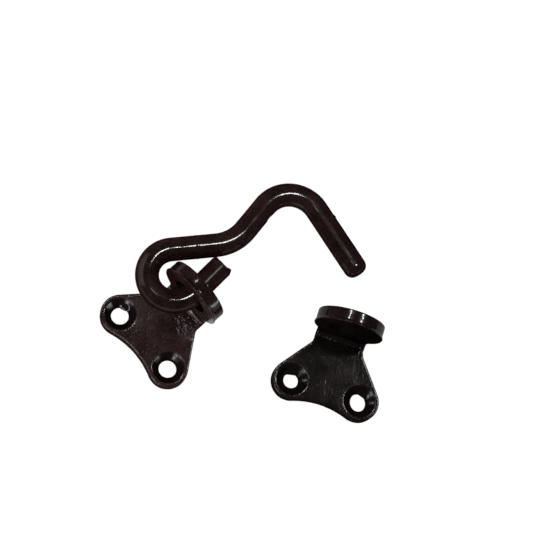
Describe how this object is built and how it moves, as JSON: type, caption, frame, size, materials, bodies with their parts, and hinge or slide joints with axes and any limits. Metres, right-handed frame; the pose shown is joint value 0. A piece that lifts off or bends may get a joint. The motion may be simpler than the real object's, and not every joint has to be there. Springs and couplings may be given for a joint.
{
  "type": "hook and eye latch",
  "caption": "Bent rod hook hanging in the upright eye of a screw-on plate, with a matching keeper plate whose eye takes the hook's tip to hold a door or gate.",
  "frame": {"origin": "midway between the pivot plate's two screw holes, on the back of the plate that lies against the door", "axes": "+X from the pivot plate towards the keeper, +Y to the side the hook swings out to, +Z away from the door"},
  "size_m": [0.0624, 0.0531, 0.0184],
  "materials": {
    "brown_enamel": "gloss"
  },
  "bodies": {
    "plates": {"pivot_plate": "brown_enamel", "keeper_plate": "brown_enamel"},
    "hook": {"hook": "brown_enamel"}
  },
  "joints": [
    {"name": "hook_swing", "type": "hinge", "parent": "plates", "child": "hook", "pos_m": [0.00615, 0.01305, 0.0107], "axis": [0, 0, 1], "range_deg": [-20, 180]}
  ]
}
